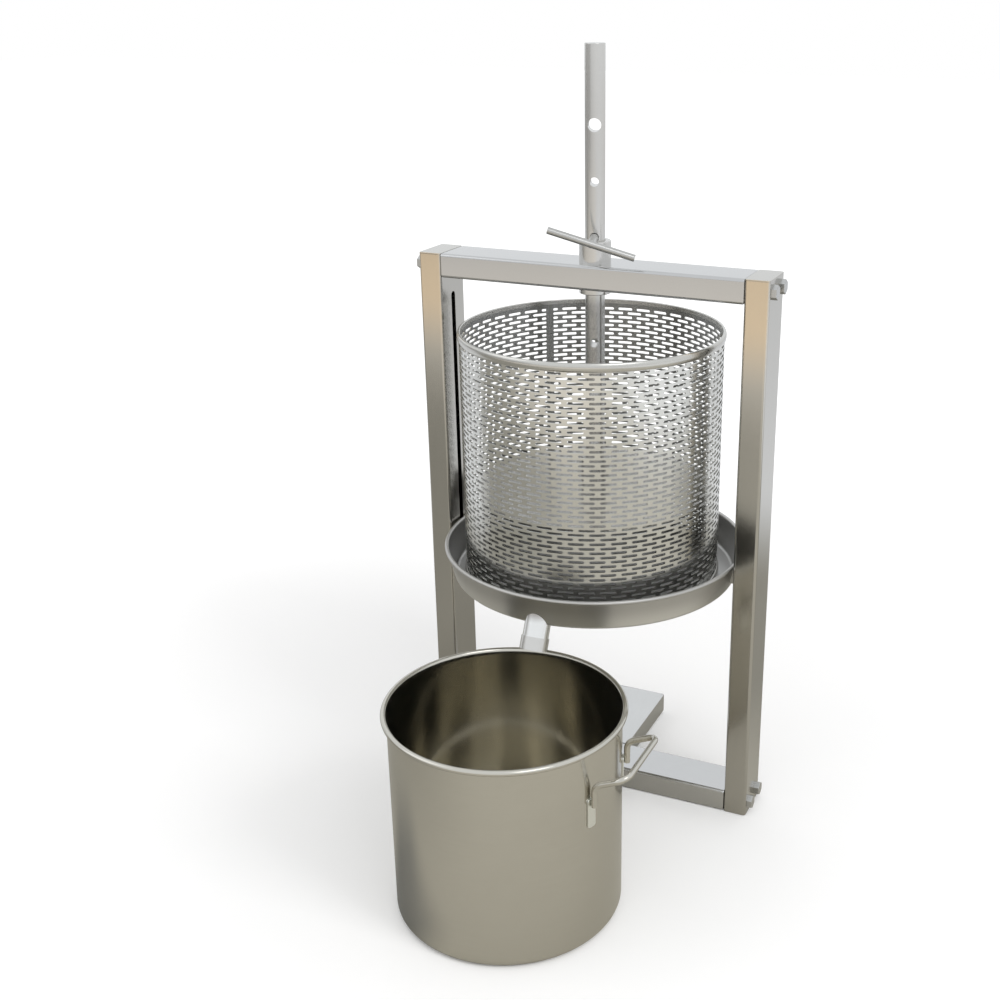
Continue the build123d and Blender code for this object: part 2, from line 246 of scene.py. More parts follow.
post_steel = steel(
    "post_steel", (0.53, 0.515, 0.48), 0.12, "Z", spread=0.07, marks=0.07, height_tone=POST_PAINTED_REFLECTION, upright=True
)
beam_steel = steel("beam_steel", (0.59, 0.59, 0.59), 0.13, "X", spread=0.07)
# Painted light: the feet and the low beam are lighter copies of the tube steel.
foot_steel = steel("foot_steel", (0.67, 0.67, 0.665), 0.18, "Y")
low_beam_steel = steel("low_beam_steel", (0.64, 0.64, 0.64), 0.18, "X")
turned_steel = steel("turned_steel", (0.67, 0.66, 0.64), 0.20, "ROUND", spread=0.06)
# Painted shade: the pin is a darker copy of the turned steel, which dims its highlight.
pin_steel = steel("pin_steel", (0.52, 0.515, 0.50), 0.26, "ROUND", spread=0.06)
bolt_steel = steel("bolt_steel", (0.56, 0.56, 0.55), 0.26, "ROUND")
print("frame and ram finishes:", [m.name for m in bpy.data.materials if m.name.endswith("_steel")])

# %% Tray, basket and pot finishes
# Painted highlight: the tray's outside is lighter towards its lower edge.
TRAY_PAINTED_HIGHLIGHT = ((0.72, 0.71, 0.68), 256 * MM, 280 * MM)
# The spout is darker towards its top, where it meets the tray.
SPOUT_DARKER_TOP = ((0.36, 0.33, 0.31), 269 * MM, 258 * MM)
# Painted shade: the pot is darker inside at its bottom.
POT_PAINTED_SHADE = ((0.45, 0.43, 0.38), 3 * MM, 12 * MM)
SMOOTH_DEPTH = 0.008 * MM

tray_steel = steel("tray_steel", (0.52, 0.51, 0.49), 0.38, "ROUND", spread=0.05, height_tone=TRAY_PAINTED_HIGHLIGHT)
lug_steel = steel("lug_steel", (0.55, 0.54, 0.52), 0.28, "ROUND", spread=0.05)
# Painted shade: the tray's inside is a darker copy of its steel.
tray_inside_steel = steel("tray_inside_steel", (0.41, 0.405, 0.395), 0.30, "ROUND", spread=0.05)
# Painted light: the spout is a much lighter copy of the steel.
spout_steel = steel("spout_steel", (0.84, 0.84, 0.83), 0.20, "ROUND", spread=0.05, height_tone=SPOUT_DARKER_TOP)
basket_steel = steel("basket_steel", (0.69, 0.685, 0.655), 0.16, "ROUND", spread=0.05)
# Painted shade: the basket's inside is a darker copy of its steel.
basket_inside_steel = steel("basket_inside_steel", (0.40, 0.40, 0.39), 0.22, "ROUND", spread=0.05)
hoop_steel = steel("hoop_steel", (0.62, 0.61, 0.58), 0.20, "ROUND", spread=0.05)
pot_steel = steel("pot_steel", (0.615, 0.595, 0.54), 0.13, "ROUND", spread=0.05)
# Painted light: the handle plates are a much lighter copy of the pot's steel.
tab_steel = steel("tab_steel", (0.88, 0.89, 0.84), 0.34, "Z", spread=0.05)
# Painted light: the pot's inside is a lighter copy of its steel.
pot_inside_steel = steel(
    "pot_inside_steel",
    (0.69, 0.665, 0.59),
    0.11,
    "ROUND",
    depth=SMOOTH_DEPTH,
    spread=0.03,
    marks=0.05,
    height_tone=POT_PAINTED_SHADE,
)
print("steel finishes:", sum(m.name.endswith("_steel") for m in bpy.data.materials))

# %% [markdown]
# ## Making pieces
# Each new piece is one bmesh turned into one object at the origin. It rides on its CAD body and stands
# for the CAD nodes that it replaces. Edges sharper than a set angle stay crisp.

# %% Piece helper
SHARP = math.radians(32)
pieces = []


def finished_mesh(name, bm):
    """Turns a bmesh into a mesh, and frees the bmesh."""
    mesh = bpy.data.meshes.new(name)
    bm.to_mesh(mesh)
    bm.free()
    return mesh


def shade(mesh):
    """Smooth shading with crisp edges."""
    mesh.shade_smooth()
    mesh.set_sharp_from_angle(angle=SHARP)


def piece(name, bm, material, body, slot, *nodes):
    """Finishes a bmesh as an object that rides on a body and replaces CAD nodes."""
    mesh = finished_mesh(name, bm)
    mesh.materials.append(material)
    shade(mesh)
    made = bpy.data.objects.new(name, mesh)
    scene.collection.objects.link(made)
    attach(made, body)
    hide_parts(*nodes)
    pieces.append(made)
    print(f"{name}: {len(mesh.polygons)} faces, for {', '.join(nodes)}")
    return made


print("piece helper ready")

# %% [markdown]
# Some small pieces need no new mesh, because their solid is already right. A CAD mesh is loose
# triangles, so a copy has its doubles merged before it is shaded smooth.

# %% Copies of solids
COPY_MERGE = 0.002 * MM


def smooth_copy(node, material, body, slot):
    """A merged, smooth-shaded copy of a CAD node, for small pieces whose solid is already right."""
    bm = bmesh.new()
    bm.from_mesh(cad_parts[node].data)
    bmesh.ops.remove_doubles(bm, verts=bm.verts[:], dist=COPY_MERGE)
    return piece(node + "_smooth", bm, material, body, slot, node)


print("copy helper ready")

# %% [markdown]
# Round sheet pieces are spun: a section is drawn once, with arcs for its bends, and turned round an
# upright axis. A section that starts on the axis also ends there, so that a bowl's bottom closes at its
# pole.

# %% Spun pieces
NEAR = 0.001 * MM


def arc(centre_r, centre_z, radius, start, end, steps):
    """Points along an arc in a profile, from one angle to another in degrees, 0 pointing outwards."""
    turns = [math.radians(start + (end - start) * k / steps) for k in range(steps + 1)]
    return [(centre_r + radius * math.cos(t), centre_z + radius * math.sin(t)) for t in turns]


def spun(profile, steps, centre=(0.0, 0.0)):
    """A profile of (radius, height) points, spun round an upright axis."""
    bm = bmesh.new()
    ring = [bm.verts.new((centre[0] + r, centre[1], z)) for r, z in profile]
    follow = ring[1:] if profile[0][0] == 0 else ring[1:] + ring[:1]
    for first, second in zip(ring, follow):
        bm.edges.new((first, second))
    bmesh.ops.spin(
        bm,
        geom=bm.verts[:] + bm.edges[:],
        cent=(centre[0], centre[1], 0),
        axis=(0, 0, 1),
        angle=2 * math.pi,
        steps=steps,
        use_merge=True,
    )
    bmesh.ops.remove_doubles(bm, verts=bm.verts[:], dist=NEAR)
    bmesh.ops.recalc_face_normals(bm, faces=bm.faces[:])
    return bm


print("spinning helpers ready")

# %% [markdown]
# Bar and tube start from a cone with equal ends and from a cube. No real edge is a knife edge, so their
# edges are rounded with a bevel, which also gives each edge its thin line of light.

# %% Bars and blocks
ROD_BEVEL_STEPS = 3
CORNER_STEPS = 6
EDGE_STEPS = 2


def soften(bm, geom, width, steps, affect="EDGES"):
    """Rounds edges, or cuts corners, to a width."""
    bmesh.ops.bevel(
        bm,
        geom=geom,
        offset=width,
        offset_type="OFFSET",
        segments=steps,
        profile=0.5,
        affect=affect,
        material=-1,
    )


def rod(start, end, radius, segments, bevel=0.0):
    """A round bar between two points, its end edges softened where a bevel is given."""
    bm = bmesh.new()
    start, end = Vector(start), Vector(end)
    along = end - start
    place = Matrix.Translation((start + end) / 2) @ along.to_track_quat("Z", "Y").to_matrix().to_4x4()
    bmesh.ops.create_cone(
        bm,
        cap_ends=True,
        segments=segments,
        radius1=radius,
        radius2=radius,
        depth=along.length,
        matrix=place,
    )
    if bevel:
        axis = along.normalized()
        rims = [e for e in bm.edges if abs((e.verts[0].co - e.verts[1].co).dot(axis)) < NEAR]
        soften(bm, rims, bevel, ROD_BEVEL_STEPS)
    return bm


def length_along(edge, axis):
    """How far an edge goes along an axis."""
    return abs(edge.verts[0].co[axis] - edge.verts[1].co[axis])


def block(low, high, along, corner, edge=0.0):
    """A box of tube: its long edges are rounded to the corner radius, its ends may be softened."""
    low, high = Vector(low), Vector(high)
    bm = bmesh.new()
    bmesh.ops.create_cube(bm, size=1.0)
    bmesh.ops.scale(bm, vec=high - low, verts=bm.verts[:])
    bmesh.ops.translate(bm, vec=(low + high) / 2, verts=bm.verts[:])
    axis = "XYZ".index(along)
    soften(bm, [e for e in bm.edges if length_along(e, axis) > NEAR], corner, CORNER_STEPS)
    if edge:
        soften(bm, [e for e in bm.edges if length_along(e, axis) < NEAR], edge, EDGE_STEPS)
    return bm


print("bar and block helpers ready")

# %% [markdown]
# Holes and slots are cut with the boolean modifier, because a bmesh has no operator for it. The result
# is kept as the piece's own mesh, so nothing depends on the cutter afterwards.

# %% Cutting
def carve(target, cutters):
    """Cuts closed meshes out of a piece and keeps the result as its own mesh."""
    for cutter_bm in cutters:
        cutter_mesh = finished_mesh("cutter", cutter_bm)
        cutter = bpy.data.objects.new("cutter", cutter_mesh)
        scene.collection.objects.link(cutter)
        cut = target.modifiers.new("cut", "BOOLEAN")
        cut.operation = "DIFFERENCE"
        cut.solver = "EXACT"
        cut.object = cutter
        graph = bpy.context.evaluated_depsgraph_get()
        result = bpy.data.meshes.new_from_object(target.evaluated_get(graph))
        target.modifiers.remove(cut)
        target.data = result
        bpy.data.objects.remove(cutter)
        bpy.data.meshes.remove(cutter_mesh)
    shade(target.data)
    print(f"{target.name}: {len(target.data.polygons)} faces after {len(cutters)} cuts")


def join(whole, bm):
    """Adds one bmesh to another, for a piece made of several loose bodies."""
    mesh = finished_mesh("loose_body", bm)
    whole.from_mesh(mesh)
    bpy.data.meshes.remove(mesh)


print("cutting and joining helpers ready")

# %% [markdown]
# ## Frame tubes
# The posts are rectangular tube with rounded corners and one long slot in the face turned inwards. A
# block gives the outside, a second block hollows it out, and the slot is cut with a stadium: a circle
# whose upper half is moved up and then extruded.

# %% Posts
TUBE_CORNER = 3.0 * MM
TUBE_WALL = 2.0 * MM
THROUGH = 2.0 * MM
SLOT_BOTTOM = 262.0 * MM
SLOT_TOP = 544.0 * MM
SLOT_RADIUS = 4.0 * MM
SLOT_SEGMENTS = 48
CUT_START = 1.0 * MM


def hollow(low, high, along):
    """The space inside a tube, run out past both ends."""
    reach = Vector((-TUBE_WALL,) * 3)
    reach["XYZ".index(along)] = THROUGH
    return block(low - reach, high + reach, along, TUBE_CORNER - TUBE_WALL)


def slot_cutter(face_x, side):
    """A stadium standing in front of a post's inner face, pushed through its wall."""
    bm = bmesh.new()
    turn = Matrix.Rotation(math.radians(90), 4, "Y")
    lower_end = SLOT_BOTTOM + SLOT_RADIUS
    place = Matrix.Translation((face_x - side * CUT_START, 0, lower_end)) @ turn
    bmesh.ops.create_circle(bm, cap_ends=True, segments=SLOT_SEGMENTS, radius=SLOT_RADIUS, matrix=place)
    upper = [v for v in bm.verts if v.co.z > lower_end - NEAR]
    bmesh.ops.translate(bm, vec=(0, 0, SLOT_TOP - SLOT_BOTTOM - 2 * SLOT_RADIUS), verts=upper)
    pushed = bmesh.ops.extrude_face_region(bm, geom=bm.faces[:])
    moved = [v for v in pushed["geom"] if isinstance(v, bmesh.types.BMVert)]
    bmesh.ops.translate(bm, vec=(side * (THROUGH + TUBE_WALL), 0, 0), verts=moved)
    bmesh.ops.recalc_face_normals(bm, faces=bm.faces[:])
    return bm


for side, node in ((-1, "left_post"), (1, "right_post")):
    low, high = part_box(node)
    post_block = block(low, high, "Z", TUBE_CORNER)
    post = piece(node + "_tube", post_block, post_steel, "frame", "frame_tube", node)
    inner_face = high.x if side < 0 else low.x
    carve(post, [hollow(low, high, "Z"), slot_cutter(inner_face, side)])

# %% [markdown]
# The caps close the post ends flush. Only their outer edge is softened, so the joint to the tube
# doesn't show.

# %% Post caps
CAP_EDGE = 0.5 * MM


def caps(node, upwards):
    """Both cap plates of one end of the posts, the outer edge rounded."""
    low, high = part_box(node)
    outer_z = high.z if upwards else low.z
    post_low, post_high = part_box("right_post")
    width = post_high.x - post_low.x
    whole = bmesh.new()
    for near, far in ((low.x, low.x + width), (high.x - width, high.x)):
        plate = block((near, low.y, low.z), (far, high.y, high.z), "Z", TUBE_CORNER)
        outer = [e for e in plate.edges if all(abs(v.co.z - outer_z) < NEAR for v in e.verts)]
        soften(plate, outer, CAP_EDGE, EDGE_STEPS)
        join(whole, plate)
    return whole


piece("post_tops", caps("post_top_caps", True), post_steel, "frame", "frame_tube", "post_top_caps")
piece("post_ends", caps("post_foot_caps", False), post_steel, "frame", "frame_tube", "post_foot_caps")

# %% [markdown]
# The beams and the feet are the same tube laid flat. The beams' ends are softened where they meet the
# posts, and the top beam is bored for the guide collar.

# %% Beams and feet
BEAM_END = 1.6 * MM
BORE_PAST = 10.0 * MM
BORE_SEGMENTS = 96

collar_low, collar_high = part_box("guide_collar")
low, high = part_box("top_beam")
beam_block = block(low, high, "X", TUBE_CORNER, BEAM_END)
top_beam = piece("top_beam_tube", beam_block, beam_steel, "frame", "frame_tube", "top_beam")
bore = rod((0, 0, low.z - BORE_PAST), (0, 0, high.z + BORE_PAST), collar_high.x, BORE_SEGMENTS)
carve(top_beam, [hollow(low, high, "X"), bore])

low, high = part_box("bottom_beam")
beam_block = block(low, high, "X", TUBE_CORNER, BEAM_END)
bottom_beam = piece("bottom_beam_tube", beam_block, low_beam_steel, "frame", "frame_tube", "bottom_beam")
carve(bottom_beam, [hollow(low, high, "X")])

for node in ("foot_rear", "foot_front"):
    low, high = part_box(node)
    foot_block = block(low, high, "Y", TUBE_CORNER)
    foot = piece(node + "_tube", foot_block, foot_steel, "frame", "frame_tube", node)
    carve(foot, [hollow(low, high, "Y")])
for node in ("foot_end_caps", "beam_end_plates"):
    smooth_copy(node, foot_steel, "frame", "frame_tube")

# %% [markdown]
# ## Bolts
# Eight hex bolts hold the posts to the beams. One head is a bar of six sides with its outer rim
# bevelled, set against the post wherever the CAD bolt is. The shanks are inside the tubes, so only the
# heads are made.

# %% Frame bolts
BOLT_SIDES = 6
BOLT_FLATS = 13.0 * MM
BOLT_HEAD = 5.3 * MM
BOLT_SPREAD = 28.0 * MM
HEAD_BEVEL = 0.7 * MM

bolts = bmesh.new()
low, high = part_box("frame_bolts")
post_face = high.x - BOLT_HEAD
beam_heights = [sum(corner.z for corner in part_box(node)) / 2 for node in ("bottom_beam", "top_beam")]
for side in (-1, 1):
    for bolt_y in (-BOLT_SPREAD / 2, BOLT_SPREAD / 2):
        for bolt_z in beam_heights:
            seat = Vector((side * post_face, bolt_y, bolt_z))
            crown = seat + Vector((side * BOLT_HEAD, 0, 0))
            head = rod(seat, crown, BOLT_FLATS / math.sqrt(3), BOLT_SIDES)
            outer = [e for e in head.edges if all(abs(v.co.x - crown.x) < NEAR for v in e.verts)]
            soften(head, outer, HEAD_BEVEL, EDGE_STEPS)
            join(bolts, head)
piece("hex_bolts", bolts, bolt_steel, "frame", "bolt_steel", "frame_bolts")

# %% [markdown]
# ## Guide collar
# The collar is a turned sleeve in which the ram slides. It is spun from its section, with small rounds
# outside and chamfers at the bore, as a lathe would leave them.

# %% Collar
COLLAR_EDGE = 0.8 * MM
COLLAR_PLAY = 0.1 * MM
COLLAR_ARC_STEPS = 3
COLLAR_STEPS = 96

low, high = collar_low, collar_high
ram_low, ram_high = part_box("press_shaft")
ram_radius = ram_high.x
collar_section = [
    (ram_radius + COLLAR_PLAY, low.z + COLLAR_EDGE),
    (ram_radius + COLLAR_EDGE, low.z),
    *arc(high.x - COLLAR_EDGE, low.z + COLLAR_EDGE, COLLAR_EDGE, -90, 0, COLLAR_ARC_STEPS),
    *arc(high.x - COLLAR_EDGE, high.z - COLLAR_EDGE, COLLAR_EDGE, 0, 90, COLLAR_ARC_STEPS),
    (ram_radius + COLLAR_EDGE, high.z),
    (ram_radius + COLLAR_PLAY, high.z - COLLAR_EDGE),
]
sleeve = spun(collar_section, COLLAR_STEPS)
piece("collar_sleeve", sleeve, turned_steel, "frame", "machined_steel", "guide_collar")

# %% [markdown]
# ## Ram
# The ram is a plain round bar, bored across at even steps for the locking pin. The top hole is larger
# and takes a lever, the lowest takes the bolt of the press plate. The holes are drilled, so that light
# shows through them.

# %% Ram
HOLE_PITCH = 53.5 * MM
HOLE_COUNT = 7
LEVER_HOLE_Z = 720.5 * MM
LEVER_HOLE_RADIUS = 6.5 * MM
PIN_HOLE_RADIUS = 4.5 * MM
HOLE_TURN = math.radians(18.0)
RAM_EDGE = 0.6 * MM
RAM_SEGMENTS = 96
DRILL_REACH = 30.0 * MM
DRILL_SEGMENTS = 40
hole_axis = Vector((math.sin(HOLE_TURN), -math.cos(HOLE_TURN), 0))

ram_bar = rod((0, 0, ram_low.z), (0, 0, ram_high.z), ram_radius, RAM_SEGMENTS, RAM_EDGE)
ram = piece("ram_bar", ram_bar, turned_steel, "ram", "machined_steel", "press_shaft")
heights = [LEVER_HOLE_Z - k * HOLE_PITCH for k in range(HOLE_COUNT)]
heights.append(sum(corner.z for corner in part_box("plate_bolt")) / 2)
drills = []
for k, height in enumerate(heights):
    middle = Vector((0, 0, height))
    reach = hole_axis * DRILL_REACH
    radius = LEVER_HOLE_RADIUS if k == 0 else PIN_HOLE_RADIUS
    drills.append(rod(middle - reach, middle + reach, radius, DRILL_SEGMENTS))
carve(ram, drills)

# %% [markdown]
# ## Locking pin
# A short rod with a bar welded across its end. The bar hangs a little out of level. Both are plain
# round bar, so the helper that made the ram makes them too, each with softened ends.

# %% Pin
PIN_RADIUS = 4.0 * MM
PIN_TAIL = 24.0 * MM
PIN_REACH = 47.0 * MM
PIN_EDGE = 0.8 * MM
PIN_SEGMENTS = 48
BAR_RADIUS = 3.5 * MM
BAR_LENGTH = 88.0 * MM
BAR_TILT = math.radians(-17.0)
BAR_EDGE = 0.6 * MM
BAR_SEGMENTS = 40
pin_centre = Vector((0, 0, LEVER_HOLE_Z - 2 * HOLE_PITCH))
bar_way = Vector((math.cos(HOLE_TURN), math.sin(HOLE_TURN), 0)) * math.cos(BAR_TILT)
bar_way += Vector((0, 0, math.sin(BAR_TILT)))
bar_centre = pin_centre + hole_axis * PIN_REACH

shank = rod(pin_centre - hole_axis * PIN_TAIL, bar_centre, PIN_RADIUS, PIN_SEGMENTS, PIN_EDGE)
piece("pin_rod", shank, pin_steel, "locking_pin", "machined_steel", "pin_shank")
half_bar = bar_way * BAR_LENGTH / 2
grip = rod(bar_centre - half_bar, bar_centre + half_bar, BAR_RADIUS, BAR_SEGMENTS, BAR_EDGE)
piece("pin_bar", grip, pin_steel, "locking_pin", "machined_steel", "pin_handle_bar")

# %% [markdown]
# ## Press plate
# The plate, its socket and the cross bolt sit deep in the basket. Their solids are already right, so
# they are merged copies with smooth shading.

# %% Plate and socket
for node in ("press_plate", "plate_socket"):
    smooth_copy(node, turned_steel, "ram", "machined_steel")
for node in ("plate_bolt", "plate_nut"):
    smooth_copy(node, bolt_steel, "ram", "bolt_steel")

# %% [markdown]
# ## Juice tray
# One sheet runs from the flat bottom up the sloped wall and rolls over a bead at the rim. The section
# is drawn once, with arcs for the bend and the bead, and spun. A hole for the spout is then cut through
# the front corner. The number of steps is chosen so that no edge of the tray lies in the middle of that
# hole, which would leave doubled faces.

# %% Tray section
SHEET = 1.5 * MM
TRAY_BOTTOM_RADIUS = 151.0 * MM
TRAY_BEND = 5.5 * MM
TRAY_BEAD = 2.2 * MM
TRAY_BEAD_ARC = (-100, 200)
TRAY_STEPS = 190
BEND_STEPS = 8
BEAD_STEPS = 18

low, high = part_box("tray_dish")
bead_r = high.x - TRAY_BEAD
bead_z = high.z - TRAY_BEAD
slope = math.degrees(math.atan2(bead_r - TRAY_BOTTOM_RADIUS, bead_z - low.z))
bend_r = TRAY_BOTTOM_RADIUS - TRAY_BEND * math.tan(math.radians(90 - slope) / 2)
bend_z = low.z + TRAY_BEND
tray_section = [
    (0, low.z),
    *arc(bend_r, bend_z, TRAY_BEND, -90, -slope, BEND_STEPS),
    *arc(bead_r, bead_z, TRAY_BEAD, *TRAY_BEAD_ARC, BEAD_STEPS),
    *arc(bend_r, bend_z, TRAY_BEND - SHEET, -slope, -90, BEND_STEPS),
    (0, low.z + SHEET),
]
tray_inside_top = bead_z - TRAY_BEAD
print("tray wall slopes out by", round(slope, 1), "degrees")

# %% [markdown]
# The tray's inside is a darker copy of its steel, painted shade in the hollow. The second material goes
# to the faces that look up or towards the axis, so no seam has to be drawn.

# %% Tray and spout
FACING = 0.5
SPOUT_LEAN = math.radians(26.0)
SPOUT_END = Vector((0, -158.4 * MM, 229.6 * MM))
SPOUT_LENGTH = 44.0 * MM
SPOUT_BORE = 10.5 * MM
SPOUT_SEGMENTS = 64
spout_axis = Vector((0, math.sin(SPOUT_LEAN), math.cos(SPOUT_LEAN)))


def mark_inside(bm, centre, below):
    """Gives the second material to the faces of a bowl that look up or at its axis, under a height."""
    for face in bm.faces:
        middle = face.calc_center_median()
        inward = Vector((centre[0] - middle.x, centre[1] - middle.y, 0)).normalized()
        if middle.z < below and max(face.normal.z, face.normal.dot(inward)) > FACING:
            face.material_index = 1
    return bm


pan = mark_inside(spun(tray_section, TRAY_STEPS), (0, 0), tray_inside_top)
tray = piece("tray_pan", pan, tray_steel, "tray", "tray_sheet", "tray_dish")
tray.data.materials.append(tray_inside_steel)
carve(tray, [rod(SPOUT_END, SPOUT_END + spout_axis * SPOUT_LENGTH, SPOUT_BORE, SPOUT_SEGMENTS)])
smooth_copy("spout", spout_steel, "tray", "tray_sheet")
smooth_copy("spout_ring", turned_steel, "tray", "tray_sheet")
smooth_copy("tray_lugs", lug_steel, "tray", "tray_sheet")

# %% [markdown]
# ## Basket
# The wall is one rolled sheet with staggered rows of short slots and a plain strip where it is welded.
# Cutting two thousand slots with booleans would be slow and untidy. Instead a grid is bent round into a
# cylinder: its columns fall on the slot ends of both kinds of row, so that each slot is three cells of
# one row, deleted.

# %% Basket pattern
SLOTS_ROUND = 40
SLOT_ROWS = 52
SLOT_SHARE = 0.755
ROW_SHARE = 0.57
PLAIN_TOP = 7.4 * MM
PLAIN_FOOT = 9.5 * MM
SEAM_TURN = math.radians(133.2)
SEAM_EXTRA = 3.0 * MM

low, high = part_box("basket_wall")
basket_radius = (high.x - low.x) / 2
basket_centre = ((low.x + high.x) / 2, (low.y + high.y) / 2)
seam_turn = SEAM_EXTRA / basket_radius
step = (2 * math.pi - seam_turn) / SLOTS_ROUND
half_gap = (1 - SLOT_SHARE) / 2
cuts = [half_gap, 0.5 - half_gap, 0.5 + half_gap, 1 - half_gap]
columns = [seam_turn / 2 + (k + c) * step for k in range(SLOTS_ROUND) for c in cuts]
first_row = low.z + PLAIN_FOOT
row_step = (high.z - PLAIN_TOP - first_row) / SLOT_ROWS
levels = [low.z]
for row in range(SLOT_ROWS):
    middle = first_row + (row + 0.5) * row_step
    levels += [middle - ROW_SHARE * row_step / 2, middle + ROW_SHARE * row_step / 2]
levels.append(high.z)
slot_length = SLOT_SHARE * step * basket_radius / MM
print(f"basket slots {slot_length:.1f} mm long and {ROW_SHARE * row_step / MM:.1f} mm high")

# %% [markdown]
# The grid's vertices are moved to their columns and levels, and its two ends merged. Odd rows are
# shifted by half a step, and cells on the seam stay.

# %% Basket wall with its slots open
wall = bmesh.new()
bmesh.ops.create_grid(wall, x_segments=len(columns), y_segments=len(levels) - 1, size=0.5)
turns = columns + [columns[0] + 2 * math.pi]
for vert in wall.verts:
    column = round((vert.co.x + 0.5) * len(columns))
    row_line = round((vert.co.y + 0.5) * (len(levels) - 1))
    turn = SEAM_TURN + turns[column]
    vert.co = (basket_radius * math.cos(turn), basket_radius * math.sin(turn), levels[row_line])
bmesh.ops.remove_doubles(wall, verts=wall.verts[:], dist=NEAR)
bmesh.ops.recalc_face_normals(wall, faces=wall.faces[:])

opened = []
for face in wall.faces:
    middle = face.calc_center_median()
    turn = (math.atan2(middle.y, middle.x) - SEAM_TURN) % (2 * math.pi)
    height = (middle.z - first_row) / row_step
    row = math.floor(height)
    along = ((turn - seam_turn / 2) / step + (0.5 if row % 2 else 0.0)) % 1.0
    in_slot = half_gap < along < 1 - half_gap
    in_row = 0 <= row < SLOT_ROWS and abs(height - row - 0.5) < ROW_SHARE / 2
    on_seam = min(turn, 2 * math.pi - turn) < columns[0]
    if in_slot and in_row and not on_seam:
        opened.append(face)
bmesh.ops.delete(wall, geom=opened, context="FACES")
print("basket cells opened:", len(opened))

# %% [markdown]
# Punched slots have rounded ends. A small vertex bevel cuts the corners, and the sheet gets its
# thickness last, so that the slots' edges are one clean wall.

# %% Basket sheet
SLOT_CORNER = 0.8 * MM
INNER_SHARE = 0.7

corners = [v for v in wall.verts if v.is_boundary and len(v.link_faces) == 3]
soften(wall, corners, SLOT_CORNER, 1, affect="VERTICES")
bmesh.ops.solidify(wall, geom=wall.faces[:], thickness=SHEET)
# The inner faces get the darker steel, painted shade inside the basket.
for face in wall.faces:
    if face.calc_center_median().xy.length < basket_radius - INNER_SHARE * SHEET:
        face.material_index = 1
bmesh.ops.translate(wall, vec=(*basket_centre, 0), verts=wall.verts[:])
basket = piece("basket_sheet", wall, basket_steel, "basket", "basket_sheet", "basket_wall")
basket.data.materials.append(basket_inside_steel)

# %% [markdown]
# A half-round hoop stiffens the sheet's upper edge and another its lower edge. The section is half an
# ellipse outside the wall, closed by a short lip that caps the edge of the sheet, and spun.

# %% Basket hoops
HOOP_LIP = 4.5 * MM
LIP_OUT = 0.25 * MM
LIP_EDGE = 0.8 * MM
HOOP_ARC_STEPS = 14
LIP_ARC_STEPS = 4
HOOP_STEPS = 192


def hoop(node, upper):
    """A half-round band with a lip over the sheet's edge. upper says which way the lip goes."""
    low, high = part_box(node)
    middle, half = (low.z + high.z) / 2, (high.z - low.z) / 2
    bulge = (high.x - low.x) / 2 - basket_radius
    inner = basket_radius - SHEET - LIP_OUT
    way = 1 if upper else -1
    edge = middle + way * half
    half_round = arc(0, 0, 1, -90 * way, 90 * way, HOOP_ARC_STEPS)
    lip_round = arc(0, 0, LIP_EDGE, 90, 0, LIP_ARC_STEPS)
    section = [(basket_radius + bulge * r, middle + half * z) for r, z in half_round]
    section += [(inner + LIP_EDGE - r, edge - way * (LIP_EDGE - z)) for r, z in lip_round]
    section += [(inner, edge - way * HOOP_LIP), (basket_radius - SHEET / 2, edge - way * HOOP_LIP)]
    return spun(section, HOOP_STEPS, basket_centre)


rim_hoop, foot_hoop = hoop("basket_rim", True), hoop("basket_foot_ring", False)
piece("basket_top_hoop", rim_hoop, hoop_steel, "basket", "basket_sheet", "basket_rim")
piece("basket_low_hoop", foot_hoop, hoop_steel, "basket", "basket_sheet", "basket_foot_ring")

# %% [markdown]
# ## Pot
# A plain drawn pot: flat bottom, rounded corner, straight wall and a rolled rim. It is spun like the
# tray. Its inside is smooth enough to mirror its own bottom corner as a faint arc.

# %% Pot body
POT_RADIUS = 111.0 * MM
POT_SHEET = 1.2 * MM
POT_BEND = 8.0 * MM
POT_BEAD = 2.8 * MM
POT_BEAD_ARC = (-120, 170)
POT_STEPS = 192

low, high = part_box("pot_body")
pot_centre = ((low.x + high.x) / 2, (low.y + high.y) / 2)
bead_r = (high.x - low.x) / 2 - POT_BEAD
bead_z = high.z - POT_BEAD
corner_r, corner_z = POT_RADIUS - POT_BEND, low.z + POT_BEND
pot_section = [
    (0, low.z),
    *arc(corner_r, corner_z, POT_BEND, -90, 0, BEND_STEPS),
    (POT_RADIUS, bead_z - POT_BEAD),
    *arc(bead_r, bead_z, POT_BEAD, *POT_BEAD_ARC, BEAD_STEPS),
    (POT_RADIUS - POT_SHEET, bead_z - POT_BEAD),
    *arc(corner_r, corner_z, POT_BEND - POT_SHEET, 0, -90, BEND_STEPS),
    (0, low.z + POT_SHEET),
]
shell = mark_inside(spun(pot_section, POT_STEPS, pot_centre), pot_centre, bead_z - POT_BEAD)
pot = piece("pot_shell", shell, pot_steel, "pot", "pot_steel", "pot_body")
pot.data.materials.append(pot_inside_steel)

# %% [markdown]
# The handle is one bent wire. Its corners are known from the frame, and each is rounded by an arc
# before a curve with a round section is laid along it. A curve keeps the wire's thickness even round
# the bends, which is hard to do by hand, and it is turned into a mesh at once.

# %% Wire helpers
WIRE_BEND_STEPS = 10
WIRE_ROUNDNESS = 6


def rounded_route(corners, bend):
    """A route through corner points, each inner corner replaced by an arc of the bend radius."""
    route = [corners[0]]
    for before, at, after in zip(corners, corners[1:], corners[2:]):
        back, on = (before - at).normalized(), (after - at).normalized()
        half = back.angle(on) / 2
        middle = at + (back + on).normalized() * bend / math.sin(half)
        first, last = at + back * bend / math.tan(half), at + on * bend / math.tan(half)
        sweep = math.pi - 2 * half
        turn_axis = (first - middle).cross(last - middle).normalized()
        for k in range(WIRE_BEND_STEPS + 1):
            turned = Matrix.Rotation(sweep * k / WIRE_BEND_STEPS, 3, turn_axis) @ (first - middle)
            route.append(middle + turned)
    return route + [corners[-1]]


